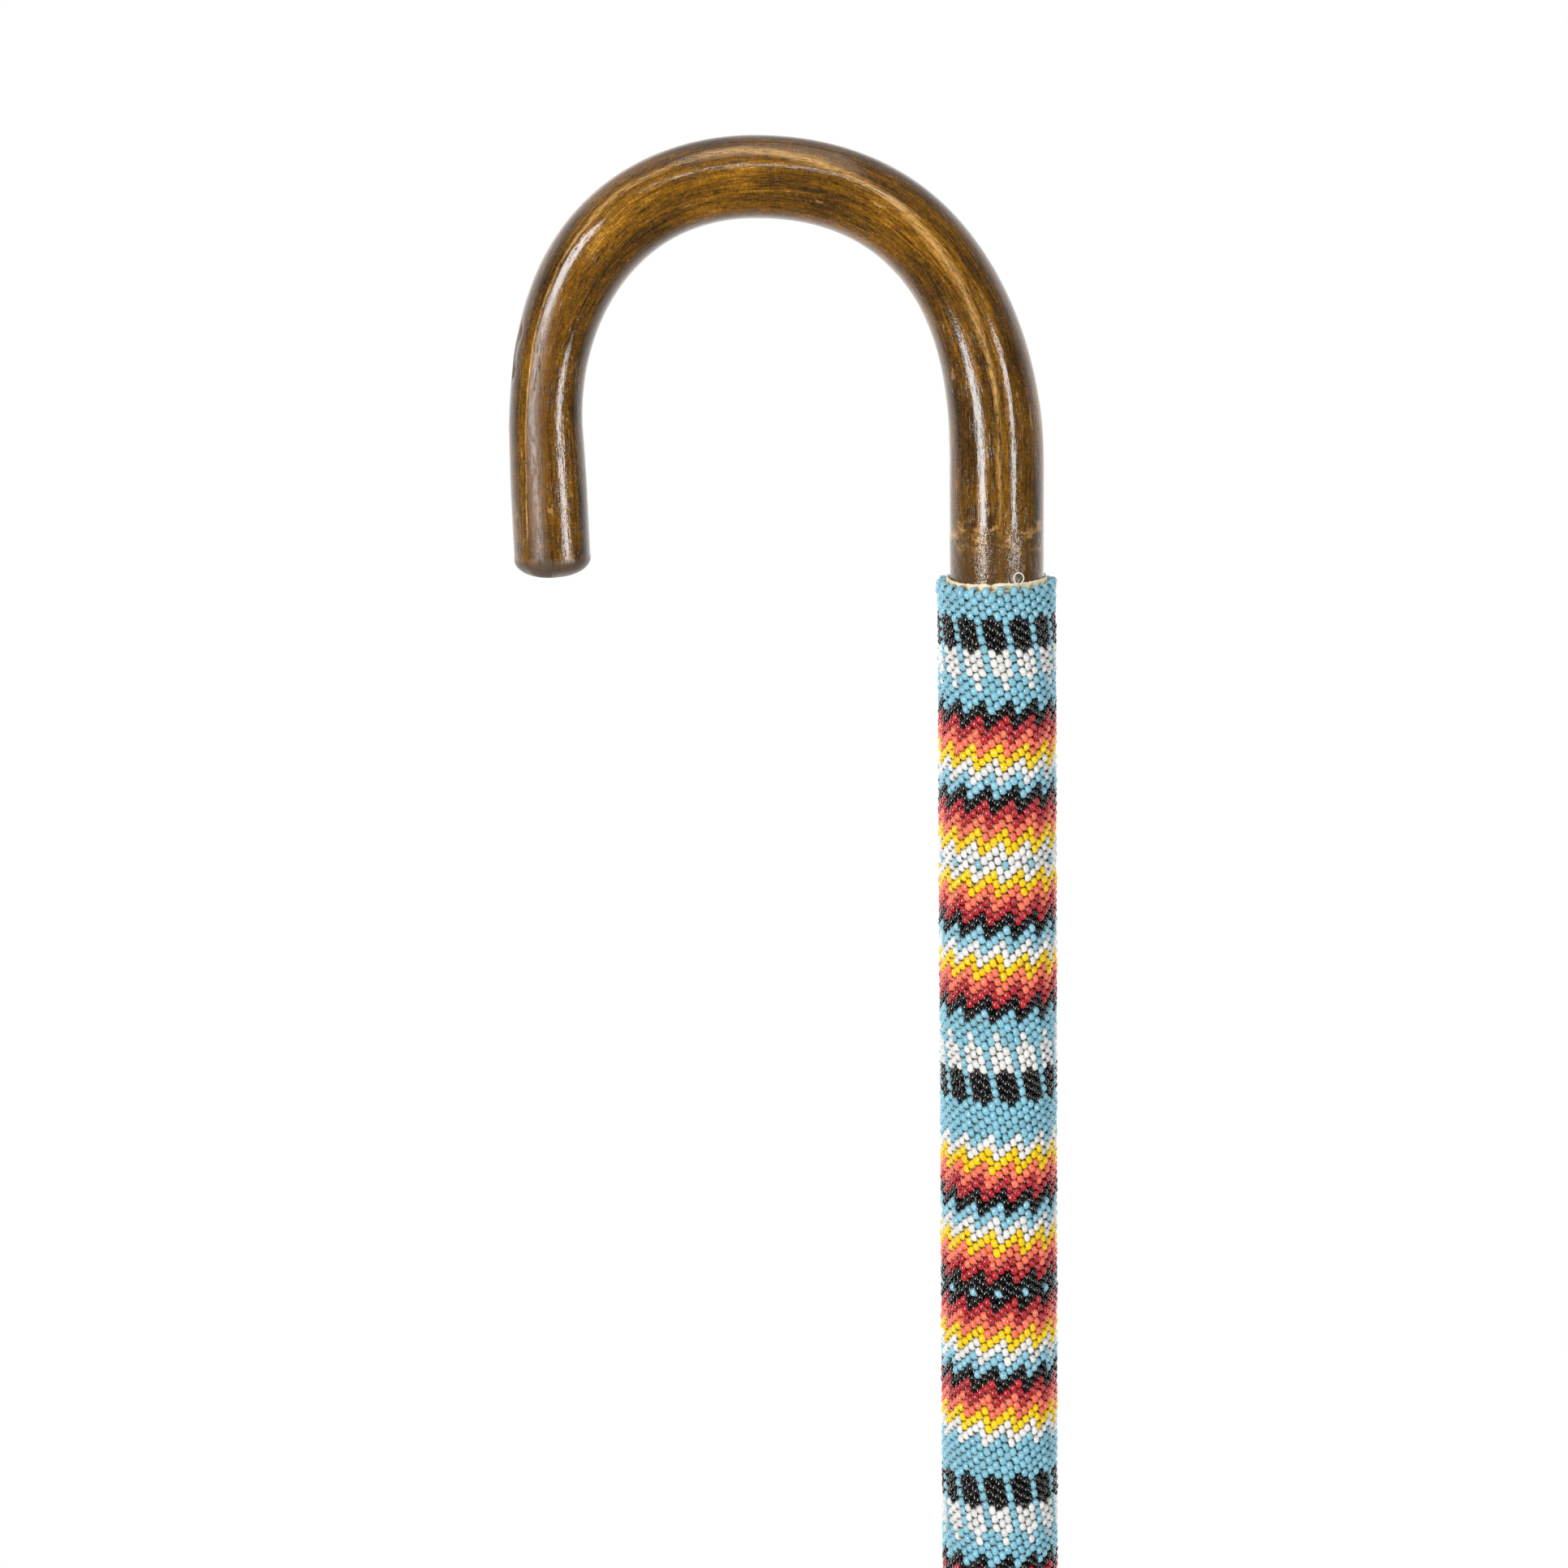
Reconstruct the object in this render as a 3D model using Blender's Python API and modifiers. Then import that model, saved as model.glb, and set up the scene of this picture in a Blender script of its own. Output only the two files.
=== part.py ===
"""Beaded walking cane with a crook handle.

Metres, +Z up. The origin is the centre of the tip's foot face, on the shaft's axis. The crook
bends towards -X in the XZ plane, and the cane's front faces -Y.
"""

import math

import bpy
from mathutils import Vector

# Overall sizes
OVERALL_HEIGHT = 0.914
SHAFT_RADIUS = 0.0111
GAP = 0.0003                      # clearance between pieces that touch

# Crook: the centre line's places are drops below the top of the handle and reaches from the shaft
CROOK_REACH = 0.1059              # shaft axis to the handle's outermost centre line
CROOK_CROWN_REACH = 0.0564        # shaft axis to the highest point
CROOK_BEND_DROP = 0.0772          # where the straight shaft ends
CROOK_NOSE_DROP = 0.0684          # where the handle's outer side turns straight down
CROOK_END_DROP = 0.1038           # lowest point of the nose
CROOK_NOSE_LEAN = 0.0013          # how far the nose leans back towards the shaft
SHAFT_SIDE_HANDLES = (0.503, 0.738)   # how far each handle reaches along its side of the bend
NOSE_SIDE_HANDLES = (0.53, 0.685)
CROWN_RADIUS = 0.0098             # wood radius over the bend
NECK_RADIUS = 0.0086              # waist just above the nose
NOSE_RADIUS = 0.0091
NECK_DROP = 0.0600                # where the waist is slimmest
NOSE_SWELL = 0.0250               # height over which the nose widens again
BEND_TAPER = (0.35, 1.0)          # the bend's taper, as shares of CROOK_BEND_DROP
NECK_TAPER = 0.3                  # where the waist starts, as a share of NECK_DROP
NOSE_DOME_HEIGHT = 0.0045
NOSE_FLAT_RADIUS = 0.0022         # small flat left at the middle of the rounded end

# Rubber tip
FERRULE_HEIGHT = 0.042
FERRULE_FOOT_WALL = 0.0075        # the foot's width past the bore
FERRULE_FOOT_HEIGHT = 0.0075
FERRULE_FLARE_HEIGHT = 0.006      # from the foot's top to the narrow body
FERRULE_FLARE_SHARE = (0.45, 0.37)    # the flare's middle point, across and up
FERRULE_NECK_WALL = 0.0033        # rubber round the bore, below the ribs
FERRULE_TOP_WALL = 0.0025         # and at the mouth
FERRULE_FLOOR = 0.0082            # rubber under the washer
FERRULE_EDGE = 0.0012             # rounding of its edges
RIB_HEIGHT = 0.0009
RIB_WIDTH = 0.0024
RIB_COUNT = 3
RIB_PITCH = 0.0055
RIB_TOP_DROP = 0.004              # first rib below the ferrule's mouth
TREAD_DEPTH = 0.0012
TREAD_WIDTH = 0.0018
TREAD_EDGE = 0.0040               # land outside the outer groove
TREAD_PITCH = 0.0044
TREAD_COUNT = 2

# Steel washer inside the tip
WASHER_THICKNESS = 0.0012
WASHER_MARGIN = 0.0005            # how much smaller than the shaft
WASHER_HOLE_RADIUS = 0.0025

# Leather liner
LEATHER_THICKNESS = 0.0005
LEATHER_RIM = 0.0012              # liner showing past the beads at each end
SEAM_WIDTH = 0.0007
SEAM_ANGLE = math.radians(-8.6)   # from the front, towards +X

# Bead sleeve
SLEEVE_TOP_DROP = 0.1054          # top of the first course, below the handle's top
SLEEVE_FOOT_CLEARANCE = 0.0055    # bare wood between the last course and the tip's mouth
BEAD_LAYER = 0.0016               # radial thickness of the ring of beads
SLEEVE_REPEATS = 3                # whole repeats of the pattern, then the first bands once more
TAIL_BANDS = 8

# One repeat of the pattern, from the top: band name, height in half beads, main colour
PATTERN = (
    ("collar", 6, "turquoise"),
    ("blocks", 18, "white"),
    ("upper_chevrons", 18, "red"),
    ("upper_spears", 15, "coral"),
    ("lower_spears", 15, "yellow"),
    ("lower_chevrons", 18, "red"),
    ("low_blocks", 21, "black"),
    ("low_collar", 6, "turquoise"),
    ("falling_chevrons", 15, "coral"),
    ("falling_spears", 15, "yellow"),
    ("black_belt", 6, "black"),
    ("rising_spears", 15, "yellow"),
    ("rising_chevrons", 18, "white"),
)

# Tied end of the beading thread
THREAD_RADIUS = 0.0002
LOOP_WIDTH = 0.0024
LOOP_HEIGHT = 0.0032
LOOP_ANGLE = math.radians(22.0)

SEGMENTS = 24                     # sides of the turned pieces
CROOK_STEPS = 14                  # points along each half of the bend
NOSE_STEPS = 6
DOME_STEPS = 5
ARCH_STEPS = 8                    # points round the thread's loop

# Name: colour, roughness, metallic
FINISHES = {
    "wood": ((0.17, 0.075, 0.028), 0.22, 0.0),
    "leather": ((0.78, 0.70, 0.56), 0.75, 0.0),
    "rubber": ((0.02, 0.02, 0.021), 0.8, 0.0),
    "steel": ((0.6, 0.6, 0.6), 0.35, 1.0),
    "thread": ((0.8, 0.78, 0.72), 0.5, 0.0),
    "turquoise": ((0.16, 0.52, 0.68), 0.2, 0.0),
    "black": ((0.006, 0.006, 0.007), 0.15, 0.0),
    "white": ((0.85, 0.85, 0.84), 0.25, 0.0),
    "red": ((0.38, 0.02, 0.035), 0.2, 0.0),
    "coral": ((0.92, 0.19, 0.12), 0.25, 0.0),
    "yellow": ((0.92, 0.68, 0.01), 0.2, 0.0),
}


def clear_scene():
    for obj in list(bpy.data.objects):
        bpy.data.objects.remove(obj, do_unlink=True)


def make_collection(name):
    collection = bpy.data.collections.new(name)
    bpy.context.scene.collection.children.link(collection)
    return collection


def make_finish(name):
    colour, roughness, metallic = FINISHES[name]
    material = bpy.data.materials.new(name)
    material.diffuse_color = (*colour, 1.0)
    material.use_nodes = True
    shader = material.node_tree.nodes["Principled BSDF"]
    shader.inputs["Base Color"].default_value = (*colour, 1.0)
    shader.inputs["Roughness"].default_value = roughness
    shader.inputs["Metallic"].default_value = metallic
    return material


def add_object(name, data, finish, parent):
    obj = bpy.data.objects.new(name, data)
    collection.objects.link(obj)
    material = make_finish(finish)
    material.name = f"{name}_{finish}"
    data.materials.append(material)
    obj.parent = parent
    return obj


def flat_radius(radius):
    """Corner radius of a faceted bore whose flats lie at this radius."""
    return radius / math.cos(math.pi / SEGMENTS)


def outline_mesh(name, points, closed):
    """Edges in the XZ plane, for a Screw modifier to turn about Z."""
    mesh = bpy.data.meshes.new(name)
    edges = [(i, i + 1) for i in range(len(points) - 1)]
    if closed:
        edges.append((len(points) - 1, 0))
    mesh.from_pydata([(x, 0.0, z) for x, z in points], edges, [])
    return mesh


def turned(name, points, finish, parent, closed=True):
    """A piece turned about Z from its outline, run down the outer side."""
    obj = add_object(name, outline_mesh(name, points, closed), finish, parent)
    screw = obj.modifiers.new("turn", "SCREW")
    screw.axis = "Z"
    screw.steps = SEGMENTS
    screw.render_steps = SEGMENTS
    screw.use_merge_vertices = True
    screw.merge_threshold = 0.00001
    screw.use_smooth_shade = True
    return obj


def bezier_point(start, start_handle, end_handle, end, t):
    u = 1.0 - t
    return (u ** 3 * start + 3 * u * u * t * start_handle
            + 3 * u * t * t * end_handle + t ** 3 * end)


def smooth_step(t):
    t = min(max(t, 0.0), 1.0)
    return t * t * (3.0 - 2.0 * t)


def bend_section(start, end, shares, starts_upright):
    """A quarter of the bend, upright at one end and level at the other."""
    across = Vector((end.x - start.x, 0.0, 0.0))
    along = Vector((0.0, 0.0, end.z - start.z))
    first, second = (along, across) if starts_upright else (across, along)
    handles = (start + shares[0] * first, end - shares[1] * second)
    steps = [step / CROOK_STEPS for step in range(1, CROOK_STEPS + 1)]
    return [bezier_point(start, *handles, end, t) for t in steps]


def cane_line():
    """Centre line of the stick from its foot to its nose, with the radius at each point."""
    top = OVERALL_HEIGHT
    foot = FERRULE_FLOOR + GAP + WASHER_THICKNESS + GAP
    bend = Vector((0.0, 0.0, top - CROOK_BEND_DROP))
    crown = Vector((-CROOK_CROWN_REACH, 0.0, top - CROWN_RADIUS))
    nose = Vector((-CROOK_REACH, 0.0, top - CROOK_NOSE_DROP))
    end = Vector((CROOK_NOSE_LEAN - CROOK_REACH, 0.0, top - CROOK_END_DROP))
    sink = (end - nose).normalized()
    dome_foot = end - sink * NOSE_DOME_HEIGHT

    line = [Vector((0.0, 0.0, foot)), bend]
    line += bend_section(bend, crown, SHAFT_SIDE_HANDLES, True)
    line += bend_section(crown, nose, NOSE_SIDE_HANDLES, False)
    line += [nose.lerp(dome_foot, step / NOSE_STEPS) for step in range(1, NOSE_STEPS)]
    radii = [stick_radius(point) for point in line]

    # The end closes in as a dome, so its points follow a quarter ellipse down to a small flat.
    last = math.acos(NOSE_FLAT_RADIUS / NOSE_RADIUS)
    for turn in range(DOME_STEPS + 1):
        angle = last * turn / DOME_STEPS
        line.append(dome_foot + sink * NOSE_DOME_HEIGHT * math.sin(angle) / math.sin(last))
        radii.append(NOSE_RADIUS * math.cos(angle))
    return line, radii


def stick_radius(point):
    """Wood radius: full on the shaft, slimmer over the bend, waisted above the nose."""
    drop = OVERALL_HEIGHT - point.z
    if point.x > -CROOK_CROWN_REACH:
        start, finish = BEND_TAPER[0] * CROOK_BEND_DROP, BEND_TAPER[1] * CROOK_BEND_DROP
        above, below = CROWN_RADIUS, SHAFT_RADIUS
    elif drop < NECK_DROP:
        start, finish = NECK_TAPER * NECK_DROP, NECK_DROP
        above, below = CROWN_RADIUS, NECK_RADIUS
    else:
        start, finish = NECK_DROP, NECK_DROP + NOSE_SWELL
        above, below = NECK_RADIUS, NOSE_RADIUS
    return above + (below - above) * smooth_step((drop - start) / (finish - start))


def tube(name, line, radii, finish, parent, resolution):
    """A round bar along a line, with a radius at each point and flat ends."""
    curve = bpy.data.curves.new(name, "CURVE")
    curve.dimensions = "3D"
    curve.twist_mode = "MINIMUM"
    curve.bevel_depth = 1.0
    curve.bevel_resolution = resolution
    curve.resolution_u = 1
    curve.render_resolution_u = 0
    curve.use_fill_caps = True
    spline = curve.splines.new("POLY")
    spline.points.add(len(line) - 1)
    for spot, place, radius in zip(spline.points, line, radii):
        spot.co = (*place, 1.0)
        spot.radius = radius
    spline.use_smooth = True
    return add_object(name, curve, finish, parent)


def make_wood(parent):
    line, radii = cane_line()
    tube("wood_cane", line, radii, "wood", parent, 8)


def ferrule_ribs(body_foot, neck, top):
    """Grip ribs round the body, from the top one down."""
    points = []
    for rib in range(RIB_COUNT):
        high = FERRULE_HEIGHT - RIB_TOP_DROP - rib * RIB_PITCH
        low = high - RIB_WIDTH
        slope = (neck - top) / (FERRULE_HEIGHT - body_foot)
        upper = top + slope * (FERRULE_HEIGHT - high)
        lower = top + slope * (FERRULE_HEIGHT - low)
        points += [(upper, high), (upper + RIB_HEIGHT, high - 0.25 * RIB_WIDTH),
                   (lower + RIB_HEIGHT, low + 0.25 * RIB_WIDTH), (lower, low)]
    return points


def ferrule_tread(foot):
    """Ring grooves under the foot, from the outer one in."""
    points = []
    for groove in range(TREAD_COUNT):
        inner = foot - TREAD_EDGE - TREAD_WIDTH - groove * TREAD_PITCH
        points += [(inner + TREAD_WIDTH, 0.0), (inner + 0.75 * TREAD_WIDTH, TREAD_DEPTH),
                   (inner + 0.25 * TREAD_WIDTH, TREAD_DEPTH), (inner, 0.0)]
    return points


def make_ferrule(parent):
    """The tip: its outline starts and ends on the axis, at the bore's floor and at the foot."""
    bore = flat_radius(SHAFT_RADIUS + GAP)
    foot, neck, top = bore + FERRULE_FOOT_WALL, bore + FERRULE_NECK_WALL, bore + FERRULE_TOP_WALL
    body_foot = FERRULE_FOOT_HEIGHT + FERRULE_FLARE_HEIGHT
    across, up = FERRULE_FLARE_SHARE
    points = [(0.0, FERRULE_FLOOR), (bore, FERRULE_FLOOR), (bore, FERRULE_HEIGHT),
              (top - FERRULE_EDGE, FERRULE_HEIGHT), (top, FERRULE_HEIGHT - FERRULE_EDGE)]
    points += ferrule_ribs(body_foot, neck, top)
    points += [(neck, body_foot),
               (neck + across * (foot - neck), FERRULE_FOOT_HEIGHT + up * FERRULE_FLARE_HEIGHT),
               (foot - FERRULE_EDGE, FERRULE_FOOT_HEIGHT),
               (foot, FERRULE_FOOT_HEIGHT - FERRULE_EDGE),
               (foot, FERRULE_EDGE),
               (foot - FERRULE_EDGE, 0.0)]
    points += ferrule_tread(foot)
    points += [(0.0, 0.0)]
    turned("rubber_ferrule", points, "rubber", parent, closed=False)


def make_washer(parent):
    foot = FERRULE_FLOOR + GAP
    outer = SHAFT_RADIUS - WASHER_MARGIN
    top = foot + WASHER_THICKNESS
    points = [(WASHER_HOLE_RADIUS, top), (outer, top), (outer, foot), (WASHER_HOLE_RADIUS, foot)]
    turned("ferrule_washer", points, "steel", parent)


def sleeve_courses():
    """Band name, low and high end, colour, from the top of the sleeve down.

    The bead height is whatever lets the whole pattern fill the sleeve.
    """
    bands = list(PATTERN) * SLEEVE_REPEATS + list(PATTERN[:TAIL_BANDS])
    high = OVERALL_HEIGHT - SLEEVE_TOP_DROP
    foot = FERRULE_HEIGHT + SLEEVE_FOOT_CLEARANCE
    half = (high - foot) / sum(halves for _, halves, _ in bands)
    courses = []
    for index, (name, halves, colour) in enumerate(bands):
        low = high - halves * half
        repeat = index // len(PATTERN) + 1
        courses.append((f"beads_{name}_{repeat}", low + 0.5 * GAP, high - 0.5 * GAP, colour))
        high = low
    return courses


def make_beads(parent):
    inner = flat_radius(leather_outer() + GAP)
    outer = inner + BEAD_LAYER
    for name, low, high, colour in sleeve_courses():
        points = [(inner, high), (outer, high), (outer, low), (inner, low)]
        turned(name, points, colour, parent)


def leather_outer():
    return flat_radius(SHAFT_RADIUS + GAP) + LEATHER_THICKNESS


def make_leather(parent):
    """A strip of leather bent round the shaft, its edges nearly meeting at the seam."""
    courses = sleeve_courses()
    low = courses[-1][1] - LEATHER_RIM
    high = courses[0][2] + LEATHER_RIM
    inner = flat_radius(SHAFT_RADIUS + GAP)
    opening = SEAM_WIDTH / inner
    mesh = outline_mesh("leather_sleeve", [(inner, high), (inner, low)], False)
    obj = add_object("leather_sleeve", mesh, "leather", parent)
    obj.rotation_euler.z = SEAM_ANGLE - 0.5 * math.pi + 0.5 * opening
    screw = obj.modifiers.new("wrap", "SCREW")
    screw.axis = "Z"
    screw.angle = 2.0 * math.pi - opening
    screw.steps = SEGMENTS
    screw.render_steps = SEGMENTS
    screw.use_merge_vertices = True
    screw.merge_threshold = 0.00001
    screw.use_smooth_shade = True
    solid = obj.modifiers.new("thickness", "SOLIDIFY")
    solid.thickness = LEATHER_THICKNESS
    solid.offset = 1.0


def make_thread_loop(parent):
    """The thread's last turn, standing up from the top course as a narrow arch."""
    foot = sleeve_courses()[0][2] + GAP
    reach = leather_outer() + 0.5 * BEAD_LAYER
    half = 0.5 * LOOP_WIDTH
    rise = LOOP_HEIGHT - THREAD_RADIUS - half
    line = [Vector((-half, 0.0, 0.0))]
    for turn in range(ARCH_STEPS + 1):
        angle = math.pi * turn / ARCH_STEPS
        line.append(Vector((-half * math.cos(angle), 0.0, rise + half * math.sin(angle))))
    line.append(Vector((half, 0.0, 0.0)))
    radii = [THREAD_RADIUS] * len(line)
    loop = tube("thread_loop", line, radii, "thread", parent, 2)
    loop.location = (reach * math.sin(LOOP_ANGLE), -reach * math.cos(LOOP_ANGLE), foot)
    loop.rotation_euler.z = LOOP_ANGLE


clear_scene()
collection = make_collection("beaded_cane")
root = bpy.data.objects.new("cane_origin", None)
collection.objects.link(root)
make_wood(root)
make_leather(root)
make_beads(root)
make_thread_loop(root)
make_ferrule(root)
make_washer(root)
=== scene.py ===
import math

import bpy
import numpy as np
from mathutils import Matrix, Vector


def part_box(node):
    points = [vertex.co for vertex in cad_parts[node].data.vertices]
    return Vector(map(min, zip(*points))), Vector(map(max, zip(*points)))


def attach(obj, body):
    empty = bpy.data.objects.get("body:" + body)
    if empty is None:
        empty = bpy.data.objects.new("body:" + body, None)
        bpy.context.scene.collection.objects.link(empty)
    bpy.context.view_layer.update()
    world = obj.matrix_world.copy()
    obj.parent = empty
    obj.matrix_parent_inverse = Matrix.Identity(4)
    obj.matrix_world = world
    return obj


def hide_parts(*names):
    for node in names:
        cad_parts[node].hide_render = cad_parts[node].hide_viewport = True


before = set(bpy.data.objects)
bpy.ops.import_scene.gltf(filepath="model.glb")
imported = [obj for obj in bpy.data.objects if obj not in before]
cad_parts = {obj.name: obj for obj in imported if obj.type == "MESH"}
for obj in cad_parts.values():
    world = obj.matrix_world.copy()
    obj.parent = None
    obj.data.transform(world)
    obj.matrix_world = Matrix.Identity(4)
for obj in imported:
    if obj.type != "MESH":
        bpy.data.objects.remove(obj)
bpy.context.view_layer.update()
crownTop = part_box("wood_cane")[1].z
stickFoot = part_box("wood_cane")[0].z
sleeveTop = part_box("beads_collar_1")[1].z


class Wire:
    # one socket of a node tree, so that shader maths reads as plain expressions
    def __init__(self, tree, socket=None):
        self.tree = tree
        self.socket = socket

    def node(self, kind, settings=None, inputs=None, output=0):
        made = self.tree.nodes.new(kind)
        for name, value in (settings or {}).items():
            if name == "stops":
                self.setStops(made.color_ramp, value)
            else:
                setattr(made, name, value)
        for name, value in (inputs or {}).items():
            if isinstance(value, Wire):
                self.tree.links.new(value.socket, made.inputs[name])
            else:
                made.inputs[name].default_value = value
        return Wire(self.tree, made.outputs[output])

    def setStops(self, ramp, stops):
        while len(ramp.elements) < len(stops):
            ramp.elements.new(1.0)
        for element, (place, colour) in zip(ramp.elements, stops):
            element.position = place
            element.color = (*colour, 1.0)

    def maths(self, operation, first, second=0.0):
        return self.node("ShaderNodeMath", {"operation": operation}, {0: first, 1: second})

    def __add__(self, other):
        return self.maths("ADD", self, other)

    def __radd__(self, other):
        return self.maths("ADD", other, self)

    def __sub__(self, other):
        return self.maths("SUBTRACT", self, other)

    def __rsub__(self, other):
        return self.maths("SUBTRACT", other, self)

    def __mul__(self, other):
        return self.maths("MULTIPLY", self, other)

    def __rmul__(self, other):
        return self.maths("MULTIPLY", other, self)

    def __truediv__(self, other):
        return self.maths("DIVIDE", self, other)

    def __rtruediv__(self, other):
        return self.maths("DIVIDE", other, self)

    def __abs__(self):
        return self.maths("ABSOLUTE", self)

    def ramp(self, low, high, start=0.0, end=1.0):
        # smooth change from start to end as the value goes from low to high
        return self.node("ShaderNodeMapRange", {"interpolation_type": "SMOOTHSTEP"},
                         {0: self, 1: low, 2: high, 3: start, 4: end})

    def axis(self, index):
        # the X, Y or Z part of a vector
        return self.node("ShaderNodeSeparateXYZ", {}, {0: self}, output=index)

    def noise(self, place, scale, detail=3.0, roughness=0.5, distortion=0.0):
        return self.node("ShaderNodeTexNoise", {},
                         {"Vector": place, "Scale": scale, "Detail": detail,
                          "Roughness": roughness, "Distortion": distortion})

    def stretch(self, place, scale):
        return self.node("ShaderNodeVectorMath", {"operation": "MULTIPLY"}, {0: place, 1: scale})

    def blend(self, share, first, second):
        # colours are sockets 6 and 7 of the Mix node, and its colour result is output 2
        first = first if isinstance(first, Wire) else (*first, 1.0)
        second = second if isinstance(second, Wire) else (*second, 1.0)
        return self.node("ShaderNodeMix", {"data_type": "RGBA"},
                         {0: share, 6: first, 7: second}, output=2)

    def bump(self, height, distance, strength=1.0):
        return self.node("ShaderNodeBump", {},
                         {"Height": height, "Distance": distance, "Strength": strength})

    def attribute(self, name, output="Fac"):
        return self.node("ShaderNodeAttribute", {"attribute_name": name}, output=output)

    def objectPlace(self):
        return self.node("ShaderNodeTexCoord", output="Object")


def startMaterial(name):
    material = bpy.data.materials.new(name)
    material.use_nodes = True
    tree = material.node_tree
    tree.nodes.clear()
    return material, Wire(tree)


def finishMaterial(wire, inputs):
    shader = wire.node("ShaderNodeBsdfPrincipled", {}, inputs)
    out = wire.tree.nodes.new("ShaderNodeOutputMaterial")
    wire.tree.links.new(shader.socket, out.inputs["Surface"])


def meshObject(name, points, faces):
    mesh = bpy.data.meshes.new(name)
    points = np.asarray(points, np.float32)
    faces = np.asarray(faces, np.int32)
    sides = faces.shape[1]
    mesh.vertices.add(len(points))
    mesh.vertices.foreach_set("co", points.ravel())
    mesh.loops.add(faces.size)
    mesh.loops.foreach_set("vertex_index", faces.ravel())
    mesh.polygons.add(len(faces))
    mesh.polygons.foreach_set("loop_start", np.arange(0, faces.size, sides, dtype=np.int32))
    mesh.polygons.foreach_set("use_smooth", np.full(len(faces), True))
    mesh.update(calc_edges=True)
    made = bpy.data.objects.new(name, mesh)
    bpy.context.collection.objects.link(made)
    return made


def pointAttribute(made, name, values):
    values = np.asarray(values, np.float32)
    kind, field = ("FLOAT", "value") if values.ndim == 1 else ("FLOAT_VECTOR", "vector")
    layer = made.data.attributes.new(name, kind, "POINT")
    layer.data.foreach_set(field, values.ravel())


def bakeMap(made, *cornerPlaces):
    # flat map for the texture bake; each part gives four places for each of its quads
    places = np.concatenate(cornerPlaces).astype(np.float32)
    layer = made.data.uv_layers.new(name="OFBake", do_init=False)
    layer.uv.foreach_set("vector", places.ravel())


def cornerPatch(count, low, high):
    # one small square of the bake map, shared by faces that are too small or hidden to need more
    return np.tile([[low, low], [high, low], [high, high], [low, high]], (count, 1, 1))


def gridSheet(rows, columns, closedAround=True, closedAlong=False, margin=0.01):
    # quads of a sheet of rows x columns points, closed round itself where asked, and their map
    around = columns if closedAround else columns - 1
    along = rows if closedAlong else rows - 1
    row, column = np.meshgrid(np.arange(along), np.arange(around), indexing="ij")
    nextRow = (row + 1) % rows
    nextColumn = (column + 1) % columns
    faces = np.stack([row * columns + column, row * columns + nextColumn,
                      nextRow * columns + nextColumn, nextRow * columns + column], -1)
    u = np.stack([column, column + 1, column + 1, column], -1) / around
    v = np.stack([row, row, row + 1, row + 1], -1) / along
    places = margin + (1 - 2 * margin) * np.stack([u, v], -1)
    return faces.reshape(-1, 4), places.reshape(-1, 4, 2)


def smoothStep(low, high, value):
    share = np.clip((value - low) / (high - low), 0.0, 1.0)
    return share * share * (3 - 2 * share)


stick = {
    "bendDrop": 0.0772,
    "crownReach": 0.0564,
    "reach": 0.1059,
    "noseDrop": 0.0684,
    "endDrop": 0.1038,
    "noseLean": 0.0013,
    "shaftSideHandles": (0.503, 0.738),
    "noseSideHandles": (0.53, 0.685),
    "shaftRadius": 0.0111,
    "crownRadius": 0.0098,
    "neckRadius": 0.0086,
    "noseRadius": 0.0091,
    "neckDrop": 0.0600,
    "noseSwell": 0.0250,
    "bendTaper": (0.35, 1.0),
    "neckTaper": 0.3,
    "domeHeight": 0.0045,
    "domeRings": 14,
    "domeFullness": 0.8,
    "sides": 112,
    "fineStep": 0.0009,
    "coarseStep": 0.03,
    # hand-finished wood is never quite round: height, lobes, twist per metre, start
    "outOfRound": ((0.00008, 2, 40, 0.0), (0.00006, 3, -23, 1.3), (0.00005, 5, 61, 0.4)),
    "shapedDrop": (0.100, 0.112),
    "noseBlend": (0.4, 0.8),
    "ridgeHeight": (0.00024, 0.00045),
    "ridgeSpread": 0.42,
    "ridgeAlong": (0, 0.12, 0.35, 0.55, 0.8, 1.0),
    "ridgeDegrees": (88, 80, 62, 47, 50, 62),
    "noseRidgeTurn": 7,
    "flatAngle": math.radians(114),
    "flatSpread": 0.30,
    "flatDepth": 0.00030,
    "flatDrop": (0.040, 0.062),
    "nickDrop": (0.0455, 0.0570),
    "nickDegrees": 20,
    "nickWidth": (0.035, 0.05),
    "nickDepth": 0.0005,
}


def bendPoints(start, end, shares, upright, count):
    across = np.array([end[0] - start[0], 0.0])
    along = np.array([0.0, end[1] - start[1]])
    first, second = (along, across) if upright else (across, along)
    handles = start + shares[0] * first, end - shares[1] * second
    t = np.linspace(0, 1, count)[:, None]
    return ((1 - t) ** 3 * start + 3 * (1 - t) ** 2 * t * handles[0]
            + 3 * (1 - t) * t * t * handles[1] + t ** 3 * end)


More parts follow.
